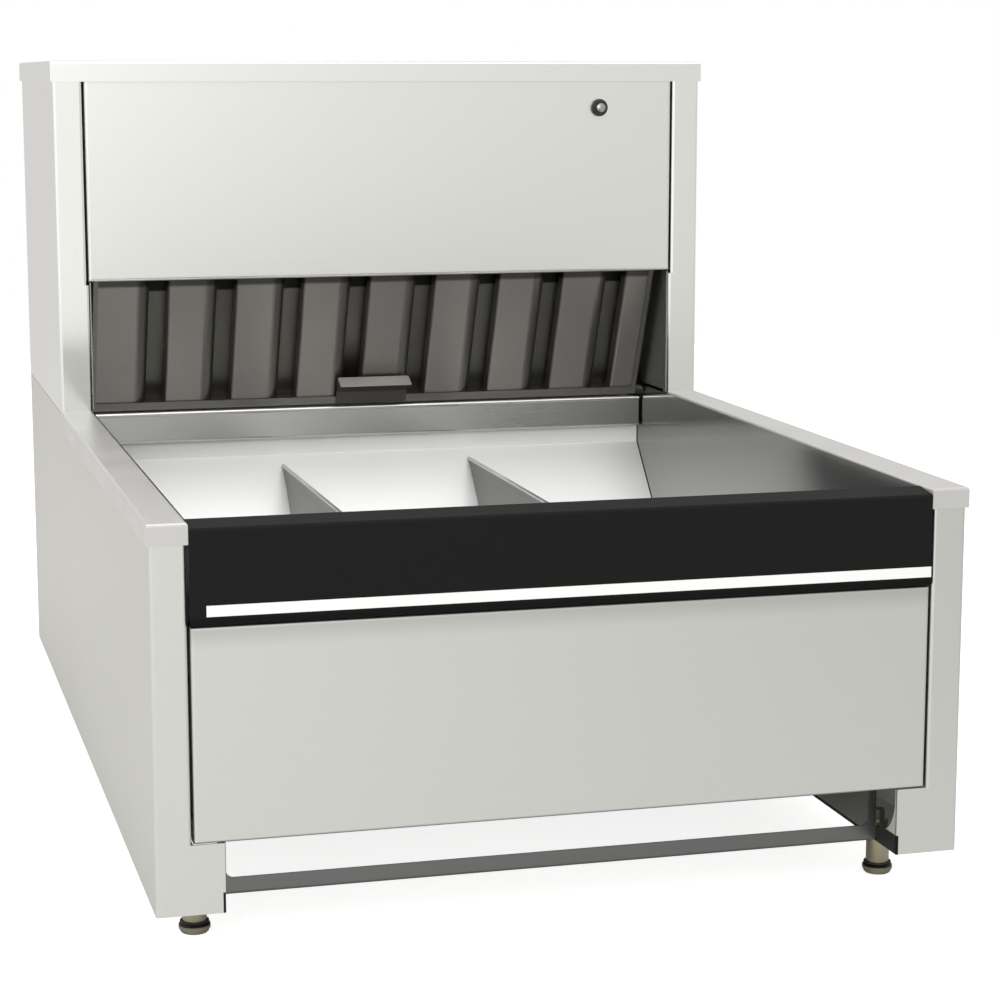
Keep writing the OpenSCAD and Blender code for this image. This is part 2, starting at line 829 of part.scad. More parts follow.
// Blower motor: drawn can with two end bells, air slots and a bore for its shaft
module blower_motor() {
    color(motor_grey) difference() {
        at_blower(motor_y + motor_l) rotate_extrude() polygon([[0, 0], [motor_r - 14, 0],
            [motor_r - 9, 5], [motor_r - 3, 8], [motor_r - 3, 16], [motor_r, 17],
            [motor_r, motor_l - 17], [motor_r - 3, motor_l - 16], [motor_r - 3, motor_l],
            [0, motor_l]]);
        at_blower(motor_y + motor_l - 8) cylinder(r = shaft_r + shaft_gap, h = motor_l);
        for (a = [0:30:330]) at_blower(motor_y + 14) rotate([0, 0, a])
            translate([motor_r - 6, -2.5, 0]) cube([8, 5, 9]);
        for (a = [45:90:315]) at_blower(motor_y + 8) rotate([0, 0, a])
            translate([motor_r - 9, 0, 0]) cylinder(r = 2.1, h = 10);
    }
}

module motor_shaft() {
    color(zinc) at_blower(motor_y + motor_l - 10)
        cylinder(r = shaft_r, h = motor_l + scroll_d - 26);
}

// One curved blade, whose arc starts radially at the hub side and leans forward at the rim
module blade() {
    curve = blade_d * 0.95;
    intersection() {
        difference() {
            circle(wheel_r - 0.6);
            circle(wheel_r - blade_d + 0.5);
        }
        translate([wheel_r - blade_d - 1, curve]) difference() {
            circle(curve + blade_t);
            circle(curve);
        }
        translate([0, -blade_t * 2]) square([wheel_r, curve + blade_t * 2]);
    }
}

// Forward-curved blower wheel: back disc with hub, blades and a front ring
module blower_wheel() {
    back = blower_y + scroll_d - 7;
    color(zinc) difference() {
        union() {
            at_blower(back) cylinder(r = wheel_r, h = 1.2);
            at_blower(back - 1) linear_extrude(blade_l)
                for (i = [0:blade_n - 1]) rotate(i * 360 / blade_n) blade();
            at_blower(back - blade_l) linear_extrude(2.5) difference() {
                circle(wheel_r + 0.8);
                circle(wheel_r - blade_d);
            }
            at_blower(back) cylinder(r = shaft_r + 6, h = 18);
        }
        at_blower(back + 1) cylinder(r = shaft_r + 0.01, h = 30);
    }
}

// Duct behind and below the well: top, back and floor in one fold, closed by two end walls
module air_duct() {
    front = gutter_y + 12;
    low = floor_z - 8;
    lip_y = rear_face_y(floor_z - 2) + thin_sheet + 0.4;
    end = duct_w / 2;
    color(inner_steel) from_front() difference() {
        union() {
            along_x(-end, end) folded([[rear_face_y(low) - ledge_w, tray_z - thin_sheet],
                [duct_y, tray_z - thin_sheet], [duct_y, duct_top_z], [front, duct_top_z]],
                thin_sheet);
            for (side = [-1, 1]) along_x(side * end - thin_sheet / 2, side * end + thin_sheet / 2)
                polygon([[lip_y, tray_z - thin_sheet], [duct_y - bend_r, tray_z - thin_sheet],
                    [duct_y, tray_z + bend_r], [duct_y, duct_top_z - bend_r],
                    [duct_y - bend_r, duct_top_z], [front, duct_top_z], [front, rear_slope_z],
                    [lip_y, rear_slope_z - (well_rear_y + 2 - lip_y) * tan(rear_slope)]]);
        }
        block([outlet_x - 0.1, blower_y + thin_sheet - 0.1, duct_top_z - 5],
            [scroll_end_x + scroll_step + 0.1, blower_y + scroll_d + 0.1, duct_top_z + 1]);
        for (i = [0:heater_n - 1], z = [-1, 1])
            translate([end - 5, heater_y(i), heater_z + z * heater_turn_r]) rotate([0, 90, 0])
                cylinder(r = heater_r + 0.5, h = 10);
    }
}

function heater_y(i) = plenum_y + 6 + i * heater_pitch;

// Hairpin elements that lie across the duct, with their cold ends through the flange
module heater_elements() {
    far = -duct_w / 2 + heater_turn_r + 14;
    near = duct_w / 2 + 12;
    color(motor_grey) from_front() for (i = [0:heater_n - 1])
        translate([0, heater_y(i), heater_z]) {
            for (z = [-1, 1]) translate([far, 0, z * heater_turn_r]) rotate([0, 90, 0])
                cylinder(r = heater_r, h = near - far);
            translate([far, 0, 0]) rotate([90, 0, 0]) rotate([0, 0, 90])
                rotate_extrude(angle = 180) translate([heater_turn_r, 0]) circle(heater_r);
        }
}

// Plate that seals the elements' ends to the side of the duct
module heater_flange() {
    x = duct_w / 2 + thin_sheet / 2 + seam;
    depth = heater_y(heater_n - 1);
    color(zinc) from_front() difference() {
        block([x, heater_y(0) - 12, heater_z - heater_turn_r - 14],
            [x + 2, depth + 12, heater_z + heater_turn_r + 14]);
        for (i = [0:heater_n - 1], z = [-1, 1])
            translate([x - 1, heater_y(i), heater_z + z * heater_turn_r]) rotate([0, 90, 0])
                cylinder(r = heater_r + 0.05, h = 4);
    }
}

// Screw terminals on the shelf behind the door
module terminal_block() {
    z = roof_z + thin_sheet + seam;
    low_x = terminal_x - terminal_w / 2;
    color(black) from_front() difference() {
        block([low_x, deck_d + control_in, z], [low_x + terminal_w, deck_d + control_in + 24, z + 18]);
        for (i = [0:floor(terminal_w / terminal_pitch) - 1])
            translate([low_x + (i + 0.5) * terminal_pitch, deck_d + control_in + 12, z]) {
                translate([-5.5, -8, 8]) cube([11, 16, 12]);
                translate([0, 0, 2]) cylinder(r = 3, h = 8);
            }
    }
}

// Preset thermostat: a case with its bulb on a stem through the plenum's roof
module thermostat() {
    z = roof_z + thin_sheet + seam;
    color(motor_grey) from_front() translate([-thermostat_x, deck_d + control_in + 18, z])
        union() {
            translate([-thermostat_w / 2, -18, 0]) cube([thermostat_w, 36, 34]);
            translate([0, 0, 33]) cylinder(r = 9, h = 8);
        }
}

// Disc thermostat that cuts the heater out, on the back of the duct
module limit_thermostat() {
    color(black) from_front() translate([0, duct_y + seam, duct_top_z - 40])
        rotate([-90, 0, 0]) union() {
            cylinder(r = 13, h = 3);
            cylinder(r = 8.5, h = 12);
            for (x = [-1, 1]) translate([x * 5 - 3, -0.5, 11]) cube([6, 1, 9]);
        }
}

// Wool boards beside the well and below it
module insulation() {
    color(wool) from_front() {
        both_sides() block([well_w / 2 + thin_sheet + 1, 24, tray_z + 4],
            [half_w - sheet - 1, gutter_y + gutter_w - 4, deck_z - deck_edge_h - 6]);
        block([-duct_w / 2 + 2, 34, leg_top_z + seam + sheet],
            [duct_w / 2 - 2, duct_y - 4, tray_z - thin_sheet - 0.3]);
    }
}

module at_switch(y) {
    from_front() translate([switch_x, y, switch_z]) rotate([90, 0, 0]) children();
}

// Ring, threaded neck and body of the power switch, bored for its button
module switch_housing() {
    color(black) difference() {
        union() {
            at_switch(deck_d - seam) rotate_extrude() difference() {
                square([switch_r, switch_ring_h]);
                translate([switch_r, switch_ring_h]) circle(1);
            }
            at_switch(deck_d + 12) cylinder(r = switch_neck_r, h = 12 + seam + 1);
            at_switch(deck_d + 30) cylinder(r = switch_neck_r + 1.4, h = 18.5);
            for (x = [-1, 1]) at_switch(deck_d + 38) translate([x * 4 - 1.5, -0.4, 0])
                cube([3, 0.8, 9]);
        }
        at_switch(deck_d + 14) cylinder(r = button_r + button_gap, h = 30);
    }
}

module switch_nut() {
    y = deck_d + sheet + 2.6;
    color(zinc) difference() {
        at_switch(y) cylinder(r = switch_neck_r + 3, h = 2.4, $fn = 6);
        at_switch(y + 1) cylinder(r = switch_neck_r + 0.05, h = 5);
    }
}

module switch_button() {
    dome_r = button_r * 2.2;
    front = deck_d - seam - switch_ring_h - button_out;
    color(zinc) intersection() {
        at_switch(deck_d + 14 - button_travel - 1) cylinder(r = button_r, h = 40);
        at_switch(front + dome_r) union() {
            sphere(dome_r);
            translate([0, 0, -40]) cylinder(r = dome_r, h = 40);
        }
    }
}

// Snap-in bushing that guards the power cord where it enters the back panel
module cord_gland() {
    lip = case_d + face_over;
    color(black) from_front() translate([gland_x, lip, gland_z]) rotate([90, 0, 0])
        difference() {
            union() {
                cylinder(r = gland_hole_r + 3, h = face_over - 0.05);
                cylinder(r = gland_hole_r - 0.2, h = 14);
                for (a = [0:90:270]) rotate([0, 0, a]) translate([gland_hole_r - 2, -3,
                    face_over + sheet + 0.4]) cube([3, 6, 3]);
            }
            translate([0, 0, -1]) cylinder(r = gland_r, h = 20);
        }
}

function foot_places() = [for (x = [-foot_x, foot_x], y = [foot_inset_y,
    case_d - foot_inset_y]) [x, y, 0]];

// Fixed barrels of the four feet, threaded to the cabinet and bored for the stems
module foot_barrels() {
    color(foot_metal) from_front() for (place = foot_places()) translate(place) difference() {
        union() {
            translate([0, 0, tip_h]) cylinder(d = barrel_d, h = foot_h - seam - tip_h);
            translate([0, 0, tip_h]) cylinder(r = stem_r + 0.5, h = foot_h + 16 - tip_h);
        }
        translate([0, 0, tip_h - 1]) cylinder(r = stem_r - 1 + shaft_gap, h = foot_h + 12);
    }
}

module foot_nuts() {
    color(zinc) from_front() for (place = foot_places())
        translate(place + [0, 0, foot_h + sheet + seam]) difference() {
            cylinder(r = stem_r * 2, h = 6, $fn = 6);
            translate([0, 0, -1]) cylinder(r = stem_r + 0.55, h = 8);
        }
}

// Disc and stem of one foot
module foot_tip(place) {
    color(foot_metal) from_front() translate(place) {
        rotate_extrude() polygon([[0, 0], [tip_d / 2 - 2, 0], [tip_d / 2 - 1, 1],
            [tip_d / 2 - 1, tip_h - 4.4], [tip_d / 2, tip_h - 4], [tip_d / 2, tip_h - 1.4],
            [tip_d / 2 - 1, tip_h - seam], [0, tip_h - seam]]);
        cylinder(r = stem_r - 1, h = foot_h + 4);
    }
}

module foot_tip_front_left() {
    foot_tip(foot_places()[0]);
}

module foot_tip_rear_left() {
    foot_tip(foot_places()[1]);
}

module foot_tip_front_right() {
    foot_tip(foot_places()[2]);
}

module foot_tip_rear_right() {
    foot_tip(foot_places()[3]);
}

// Screws of the back panels and of the motor
module panel_screws() {
    color(zinc) {
        from_front() both_sides() for (z = concat(base_screws, hood_screws))
            translate([half_w - screw_in, case_d + 0.05, z]) rotate([-90, 0, 0])
                screw(4, 1.8, 2, 6);
        for (a = [45:90:315]) at_blower(blower_y + scroll_d + seam - 0.1)
            rotate([0, 0, a]) translate([motor_r - 9, 0, 0]) screw(3.6, 2.2, 2, 8);
    }
}

// Round lead along a path of points
module lead(points, r) {
    for (i = [0:len(points) - 2]) {
        run = points[i + 1] - points[i];
        turn = atan2(run[1], run[0]);
        lean = acos(run[2] / norm(run));
        translate(points[i]) rotate([0, lean, turn]) cylinder(r = r, h = norm(run));
    }
    for (i = [1:len(points) - 2]) translate(points[i]) sphere(r * 1.15);
}

// Leads from the switch down into the last two terminals, one behind the other
module wiring() {
    z = roof_z + thin_sheet + 18;
    last_x = terminal_x + terminal_w / 2 - terminal_pitch;
    color(black) from_front() for (side = [-1, 1]) {
        x = last_x + side * terminal_pitch / 2;
        y = deck_d + control_in + 13 + side * 3;
        lead([[switch_x + side * 4, deck_d + 47.2, switch_z], [switch_x + side * 4, y, switch_z],
            [x, y, switch_z], [x, y, z - 7]], 1.6);
    }
}

// Rectangular frame of the filter: a channel all round, open inwards to hold the baffles
module filter_frame() {
    w = filter_w / 2;
    color(filter_steel) on_filter() difference() {
        block([-w, 0, 0], [w, filter_t, filter_l]);
        block([-w + frame_side_w, -1, filter_foot_h],
            [w - frame_side_w, filter_t + 1, filter_l - filter_head_h]);
        block([-w + baffle_t, baffle_t, baffle_t],
            [w - baffle_t, filter_t - baffle_t, filter_l - baffle_t]);
    }
}

// Left edge of a gap between two front baffles
function gap_x(i) = filter_w / 2 - gap_end - gap_w - (gap_n - 1 - i) * gap_pitch;

web_y = baffle_t + 0.2;
baffle_low = baffle_t + 0.3;
baffle_high = filter_l - baffle_t - 0.3;
rear_baffle_y = filter_t - 2 * baffle_t - 0.6;

// Part of a baffle, bent along a path across the filter
module baffle(path, r = bend_r) {
    along_z(baffle_low, baffle_high) folded(path, baffle_t, r);
}

// Row of baffles whose webs face the well, one each side of every gap. Their right edges are
// well rounded, but not that of the last one, beside the frame
module front_baffles() {
    edge = filter_w / 2 - baffle_t - 0.3;
    back = web_y + baffle_fold;
    last = gap_x(gap_n - 1) + gap_w;
    color(filter_steel) on_filter() {
        for (i = [0:gap_n - 1]) {
            x0 = i == 0 ? -edge : gap_x(i - 1) + gap_w;
            x1 = gap_x(i);
            middle = (x0 + x1) / 2;
            baffle([[x0, back], [x0, web_y], [middle, web_y]]);
            baffle([[middle, web_y], [x1, web_y], [x1, back]], baffle_r);
        }
        baffle([[last, back], [last, web_y], [edge, web_y], [edge, back]]);
    }
}

// Row of baffles behind the gaps, whose edges reach forward into the front row
module rear_baffles() {
    y = rear_baffle_y;
    color(filter_steel) on_filter() for (i = [0:gap_n - 1]) {
        x0 = gap_x(i) - baffle_lap;
        x1 = min(gap_x(i) + gap_w + baffle_lap, filter_w / 2 - baffle_t - 3);
        baffle([[x1, y - baffle_fold], [x1, y], [x0, y], [x0, y - baffle_fold]]);
    }
}

// Handle of folded strip: a plate on the frame's lower border, with a lip to pull by
module filter_handle() {
    right = gap_x(floor(gap_n / 2)) - handle_edge;
    color(inner_steel) on_filter() along_x(right - handle_w, right)
        folded([[0, baffle_t + 0.5], [0, handle_up], [-handle_out, handle_up]],
            handle_t, handle_t + 1);
}

// Shallow tray below the screens, with its front wall along the front slope
module crumb_tray() {
    low = tray_z + seam;
    high = floor_z - screen_fold - seam;
    c = lift_gap / cos(front_slope);
    x = well_w / 2 - lift_gap;
    back = rear_face_y(floor_z - 2) - lift_gap - 3;
    color(inner_steel) from_front() difference() {
        along_x(-x, x) polygon([[front_face_y(low) + c, low], [back, low],
            [back, high], [front_face_y(high) + c, high]]);
        along_x(-x + thin_sheet, x - thin_sheet) polygon([
            [front_face_y(low) + c + thin_sheet + 0.4, low + thin_sheet],
            [back - thin_sheet, low + thin_sheet], [back - thin_sheet, high + 1],
            [front_face_y(high + 1) + c + thin_sheet + 0.4, high + 1]]);
        block([-x + 12, back - 2, high - air_gap_h], [x - 12, back + 1, high + 1]);
    }
}

// Pairs of upright strips that stand in the tray, carry the screens and hold the dividers
module tray_rails() {
    low = tray_z + seam + thin_sheet + 0.05;
    high = floor_z - 0.8;
    ledge_z = floor_z - screen_fold - seam;
    front = front_face_y(low) + lift_gap + 4;
    back = rear_face_y(floor_z - 2) - lift_gap - 6;
    g = groove_w / 2;
    color(inner_steel) from_front() along_y(front, back) for (x = dividers) translate([x, 0]) {
        for (side = [-1, 1]) mirror([side < 0 ? 1 : 0, 0]) {
            translate([g, low]) square([thin_sheet, high - low]);
            translate([g, ledge_z - thin_sheet]) square([8, thin_sheet]);
            translate([g, low]) square([8, thin_sheet]);
        }
        translate([-g - 0.1, floor_z - groove_d - thin_sheet]) square([groove_w + 0.2, thin_sheet]);
    }
}

// Lift-out floor section between x0 and x1, slotted to let the air up
module screen(x0, x1) {
    front = front_face_y(floor_z - screen_fold) + 2 * lift_gap;
    back = rear_face_y(floor_z) - 2 * lift_gap;
    low = floor_z - screen_fold;
    columns = floor((x1 - x0 - 12) / slot_pitch_x);
    rows = floor((back - front - 12) / slot_pitch_y);
    color(inner_steel) from_front() difference() {
        cap_shell([x0, front, low], [x1, back, floor_z], thin_sheet, 1.6);
        translate([(x0 + x1) / 2, (front + back) / 2, floor_z - 2])
            for (i = [0:columns - 1], j = [0:rows - 1])
                translate([(i - (columns - 1) / 2) * slot_pitch_x,
                    (j - (rows - 1) / 2) * slot_pitch_y, 0])
                    linear_extrude(3) stadium(slot_l, slot_w);
    }
}

screen_edge = groove_w / 2 + thin_sheet + 0.5;

module screen_left() {
    screen(-well_w / 2 + lift_gap, -divider_left_x - screen_edge);
}

module screen_centre() {
    screen(-divider_left_x + screen_edge, divider_right_x - screen_edge);
}

module screen_right() {
    screen(divider_right_x + screen_edge, well_w / 2 - lift_gap);
}

// Upright partition cut to both slopes, with a rolled upper edge
module divider(x) {
    low = floor_z - groove_d + 0.2;
    slot_z = floor_z + 1;
    c = 4.4;
    top = divider_top_z - divider_roll_r;
    tip = rear_face_y(top) - 2;
    nose = front_face_y(top) + c;
    color(inner_steel) from_front() {
        along_x(x - thin_sheet / 2, x + thin_sheet / 2) polygon([
            [front_face_y(low) + c + 4, low], [rear_face_y(floor_z - 2) - 10, low],
            [rear_face_y(floor_z - 2) - 10, slot_z], [rear_face_y(slot_z) - 2, slot_z],
            [tip, top], [nose, top]]);
        translate([x, nose, top]) rotate([-90, 0, 0])
            cylinder(r = divider_roll_r, h = tip - nose);
    }
}

module divider_left() {
    divider(-divider_left_x);
}

module divider_right() {
    divider(divider_right_x);
}

side_left();
side_right();
deck_cap_left();
deck_cap_right();
hood_side_left();
hood_side_right();
hood_cap();
hood_door();
hood_back();
base_back();
base_pan();
crossbar_front();
crossbar_rear();
front_panel();
front_band();
band_stripe();
well_front();
well_rear();
well_wall_left();
well_wall_right();
filter_gutter();
plenum_side_left();
plenum_side_right();
plenum_roof();
plenum_back();
air_duct();
heater_elements();
heater_flange();
blower_scroll();
scroll_back();
blower_motor();
terminal_block();
thermostat();
limit_thermostat();
insulation();
switch_housing();
switch_nut();
cord_gland();
foot_barrels();
foot_nuts();
panel_screws();
wiring();
switch_button();
blower_wheel();
motor_shaft();
filter_frame();
front_baffles();
rear_baffles();
filter_handle();
crumb_tray();
tray_rails();
screen_left();
screen_centre();
screen_right();
divider_left();
divider_right();
foot_tip_front_left();
foot_tip_front_right();
foot_tip_rear_left();
foot_tip_rear_right();
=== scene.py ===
from math import pi, radians

import bmesh
import bpy
from mathutils import Matrix, Vector


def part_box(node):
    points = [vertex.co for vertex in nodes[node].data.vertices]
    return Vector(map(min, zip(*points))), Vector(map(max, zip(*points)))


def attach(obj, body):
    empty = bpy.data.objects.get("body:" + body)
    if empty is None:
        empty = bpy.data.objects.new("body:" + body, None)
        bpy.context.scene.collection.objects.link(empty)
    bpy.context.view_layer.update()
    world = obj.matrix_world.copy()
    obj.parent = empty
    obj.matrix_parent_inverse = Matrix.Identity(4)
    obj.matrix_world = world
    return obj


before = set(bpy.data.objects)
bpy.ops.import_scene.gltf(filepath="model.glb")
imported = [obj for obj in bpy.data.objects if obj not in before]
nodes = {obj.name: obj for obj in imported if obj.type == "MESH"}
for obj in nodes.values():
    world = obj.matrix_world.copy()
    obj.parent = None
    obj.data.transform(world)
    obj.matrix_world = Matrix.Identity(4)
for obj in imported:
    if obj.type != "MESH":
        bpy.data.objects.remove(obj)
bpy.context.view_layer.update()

# Camera: the view of the photograph, from the front and a little to the left, looking
# slightly down on the well. Everything is in metres, in the frame of the CAD model.
look_down = 9.54
look_right = 15.18
camera_data = bpy.data.cameras.new("camera")
camera_data.lens = 90.72
camera_data.sensor_width = 36.0
camera = bpy.data.objects.new("camera", camera_data)
bpy.context.scene.collection.objects.link(camera)
camera.location = (-0.4753, -1.99675, 0.5676)
camera.rotation_euler = (radians(90 - look_down), 0, radians(-look_right))
bpy.context.scene.camera = camera
bpy.context.scene.view_settings.view_transform = "Standard"

# World: a plain studio that is white in front on the left and greyer towards the rear, which
# is what the metal shows. The camera sees a white background at a strength of 1, and the
# metal shows a share of it too.
window_side = (-0.70, -0.65, 0.25)
window_starts = 0.25
window_full = 0.78
studio_strength = 1.28
share_in_metal = 0.35


# Adds a Math node, whose two inputs are numbers or sockets, and gives its output
def chained_math(tree, operation, first, second):
    node = tree.nodes.new("ShaderNodeMath")
    node.operation = operation
    for socket, value in zip(node.inputs, (first, second)):
        if isinstance(value, (int, float)):
            socket.default_value = value
        else:
            tree.links.new(value, socket)
    return node.outputs[0]


world = bpy.data.worlds.new("white_studio")
bpy.context.scene.world = world
world.use_nodes = True
tree = world.node_tree
tree.nodes.clear()
world_out = tree.nodes.new("ShaderNodeOutputWorld")
behind = tree.nodes.new("ShaderNodeBackground")
behind.inputs["Color"].default_value = (1, 1, 1, 1)
studio = tree.nodes.new("ShaderNodeBackground")
coords = tree.nodes.new("ShaderNodeTexCoord")
facing = tree.nodes.new("ShaderNodeVectorMath")
facing.operation = "DOT_PRODUCT"
facing.inputs[1].default_value = Vector(window_side).normalized()
tree.links.new(coords.outputs["Generated"], facing.inputs[0])
spread = tree.nodes.new("ShaderNodeMapRange")
spread.interpolation_type = "SMOOTHSTEP"
spread.inputs["From Min"].default_value = window_starts
spread.inputs["From Max"].default_value = window_full
tree.links.new(facing.outputs["Value"], spread.inputs["Value"])
tone = tree.nodes.new("ShaderNodeValToRGB")
tone.color_ramp.elements[0].color = (0.49, 0.478, 0.465, 1)
tone.color_ramp.elements[1].color = (1.0, 1.0, 0.985, 1)
tree.links.new(spread.outputs["Result"], tone.inputs["Fac"])
tree.links.new(tone.outputs["Color"], studio.inputs["Color"])
studio.inputs["Strength"].default_value = studio_strength
ray = tree.nodes.new("ShaderNodeLightPath")
in_metal = chained_math(tree, "MULTIPLY", ray.outputs["Is Glossy Ray"], share_in_metal)
seen = chained_math(tree, "ADD", in_metal, ray.outputs["Is Camera Ray"])
seen = chained_math(tree, "MAXIMUM", seen, ray.outputs["Is Transmission Ray"])
choose = tree.nodes.new("ShaderNodeMixShader")
tree.links.new(seen, choose.inputs["Fac"])
tree.links.new(studio.outputs[0], choose.inputs[1])
tree.links.new(behind.outputs[0], choose.inputs[2])
tree.links.new(choose.outputs[0], world_out.inputs[0])

# Lamps: a square soft box in front on the left, and a wider one overhead that reaches into
# the well. Both stay weak, so that the sheet keeps its own colour.
for name, place, aim, width, power in (
        ("soft_box", (-0.85, -3.0, 1.35), (0, 0, 0.3), 0.9, 12),
        ("overhead", (0.2, -0.7, 2.6), (0, 0, 0.2), 1.6, 20)):
    lamp_data = bpy.data.lights.new(name, "AREA")
    lamp_data.shape = "SQUARE"
    lamp_data.size = width
    lamp_data.energy = power
    lamp = bpy.data.objects.new(name, lamp_data)
    lamp.location = place
    lamp.rotation_euler = (Vector(aim) - Vector(place)).to_track_quat("-Z", "Y").to_euler()
    bpy.context.scene.collection.objects.link(lamp)

# Floor: a plain pale sheet that the warmer stands on, painted a little greyer towards the right
# as painted shade, where the soft box's light falls off. It keeps the warmer's soft shadow, and
# what the camera sees of it is lifted to white.
floor_half = 3.1
floor_shade_from_x = -0.7
floor_shade_to_x = 1.1
floor_lift = 0.80
lift_in_metal = 0.10


# Goes from 0 to 1 between two places on an axis, or on several axes where all of them hold
def mask(tree, *places):
    coords = tree.nodes.new("ShaderNodeTexCoord")
    split = tree.nodes.new("ShaderNodeSeparateXYZ")
    tree.links.new(coords.outputs["Object"], split.inputs[0])
    share = None
    for axis, low, high in places:
        band = tree.nodes.new("ShaderNodeMapRange")
        band.interpolation_type = "SMOOTHSTEP"
        band.inputs["From Min"].default_value = low
        band.inputs["From Max"].default_value = high
        tree.links.new(split.outputs[axis], band.inputs["Value"])
        result = band.outputs["Result"]
        share = result if share is None else chained_math(tree, "MULTIPLY", share, result)
    return share


floor_mesh = bpy.data.meshes.new("floor")
bm = bmesh.new()
bmesh.ops.create_grid(bm, x_segments=1, y_segments=1, size=floor_half)
bm.to_mesh(floor_mesh)
bm.free()
floor = bpy.data.objects.new("floor", floor_mesh)
bpy.context.scene.collection.objects.link(floor)
floor_paint = bpy.data.materials.new("floor_paint")
floor_paint.use_nodes = True
tree = floor_paint.node_tree
shader = tree.nodes["Principled BSDF"]
# Painted shade: the ramp greys the floor towards the right.
shade = tree.nodes.new("ShaderNodeValToRGB")
shade.color_ramp.elements[0].color = (0.80, 0.80, 0.79, 1)
shade.color_ramp.elements[1].color = (0.58, 0.58, 0.57, 1)
tree.links.new(mask(tree, ("X", floor_shade_from_x, floor_shade_to_x)), shade.inputs["Fac"])
tree.links.new(shade.outputs["Color"], shader.inputs["Base Color"])
shader.inputs["Roughness"].default_value = 0.9
shader.inputs["Specular IOR Level"].default_value = 0.0
shader.inputs["Emission Color"].default_value = (1, 1, 1, 1)
ray = tree.nodes.new("ShaderNodeLightPath")
in_metal = chained_math(tree, "MULTIPLY", ray.outputs["Is Glossy Ray"], lift_in_metal)
seen = chained_math(tree, "ADD", in_metal, ray.outputs["Is Camera Ray"])
lift = chained_math(tree, "MULTIPLY", seen, floor_lift)
tree.links.new(lift, shader.inputs["Emission Strength"])
floor_mesh.materials.append(floor_paint)

# Side panels of the base with their columns and legs: satin stainless sheet, folded and
# spot-welded. The rolled grain of the sheet runs along each panel, with soft cloudy patches.
# Between the legs their inner sides are dull. Behind the front faces the sheet is painted a
# little darker as painted shade, and the folds behind the legs are painted nearly black as
# painted shade.
rough_swing = 0.9
shade_swing = -0.35
grain_group = bpy.data.node_groups.new("sheet_grain", "ShaderNodeTree")
for label, kind in (("Vector", "NodeSocketVector"), ("Colour", "NodeSocketColor"),
                    ("Roughness", "NodeSocketFloat"), ("Patch Size", "NodeSocketFloat"),
                    ("Patchiness", "NodeSocketFloat"), ("Grain", "NodeSocketFloat")):
    grain_group.interface.new_socket(label, in_out="INPUT", socket_type=kind)
for label, kind in (("Colour", "NodeSocketColor"), ("Roughness", "NodeSocketFloat"),
                    ("Height", "NodeSocketFloat")):
    grain_group.interface.new_socket(label, in_out="OUTPUT", socket_type=kind)
g_in = grain_group.nodes.new("NodeGroupInput")
g_out = grain_group.nodes.new("NodeGroupOutput")
streaks = grain_group.nodes.new("ShaderNodeTexNoise")
streaks.inputs["Scale"].default_value = 1.0
streaks.inputs["Detail"].default_value = 3.0
streaks.inputs["Roughness"].default_value = 0.65
grain_group.links.new(g_in.outputs["Vector"], streaks.inputs["Vector"])
spots = grain_group.nodes.new("ShaderNodeTexCoord")
clouds = grain_group.nodes.new("ShaderNodeTexNoise")
clouds.inputs["Detail"].default_value = 4.0
clouds.inputs["Roughness"].default_value = 0.5
grain_group.links.new(spots.outputs["Object"], clouds.inputs["Vector"])
grain_group.links.new(g_in.outputs["Patch Size"], clouds.inputs["Scale"])
swings = []
for noise, amount in ((clouds, "Patchiness"), (streaks, "Grain")):
    centred = chained_math(grain_group, "SUBTRACT", noise.outputs["Fac"], 0.5)
    swings.append(chained_math(grain_group, "MULTIPLY", centred, g_in.outputs[amount]))
swing = chained_math(grain_group, "ADD", *swings)
rougher = chained_math(grain_group, "MULTIPLY", swing, rough_swing)
rough_sum = chained_math(grain_group, "ADD", g_in.outputs["Roughness"], rougher)
grain_group.links.new(rough_sum, g_out.inputs["Roughness"])
darker = chained_math(grain_group, "MULTIPLY", swing, shade_swing)
gain = chained_math(grain_group, "ADD", darker, 1.0)
tint = grain_group.nodes.new("ShaderNodeVectorMath")
tint.operation = "SCALE"
grain_group.links.new(g_in.outputs["Colour"], tint.inputs[0])
grain_group.links.new(gain, tint.inputs["Scale"])
grain_group.links.new(tint.outputs[0], g_out.inputs["Colour"])
grain_group.links.new(streaks.outputs["Fac"], g_out.inputs["Height"])


# Finish with a grain: grain_scale is how often the streaks change along X, Y and Z, in 1/m
def grained(name, colour, roughness, grain_scale, patch_size=3.0, patchiness=0.12, grain=0.10,
            bump=0.015, metallic=1.0, specular=0.5):
    material = bpy.data.materials.new(name)
    material.use_nodes = True
    tree = material.node_tree
    shader = tree.nodes["Principled BSDF"]
    shader.inputs["Metallic"].default_value = metallic
    shader.inputs["Specular IOR Level"].default_value = specular
    coords = tree.nodes.new("ShaderNodeTexCoord")
    mapping = tree.nodes.new("ShaderNodeMapping")
    mapping.inputs["Scale"].default_value = grain_scale
    tree.links.new(coords.outputs["Object"], mapping.inputs["Vector"])
    group = tree.nodes.new("ShaderNodeGroup")
    group.node_tree = grain_group
    tree.links.new(mapping.outputs["Vector"], group.inputs["Vector"])
    group.inputs["Colour"].default_value = (*colour, 1)
    group.inputs["Roughness"].default_value = roughness
    group.inputs["Patch Size"].default_value = patch_size
    group.inputs["Patchiness"].default_value = patchiness
    group.inputs["Grain"].default_value = grain
    tree.links.new(group.outputs["Colour"], shader.inputs["Base Color"])
    tree.links.new(group.outputs["Roughness"], shader.inputs["Roughness"])
    relief = tree.nodes.new("ShaderNodeBump")
    relief.inputs["Strength"].default_value = bump
    relief.inputs["Distance"].default_value = 0.0002
    tree.links.new(group.outputs["Height"], relief.inputs["Height"])
    tree.links.new(relief.outputs["Normal"], shader.inputs["Normal"])
    return material


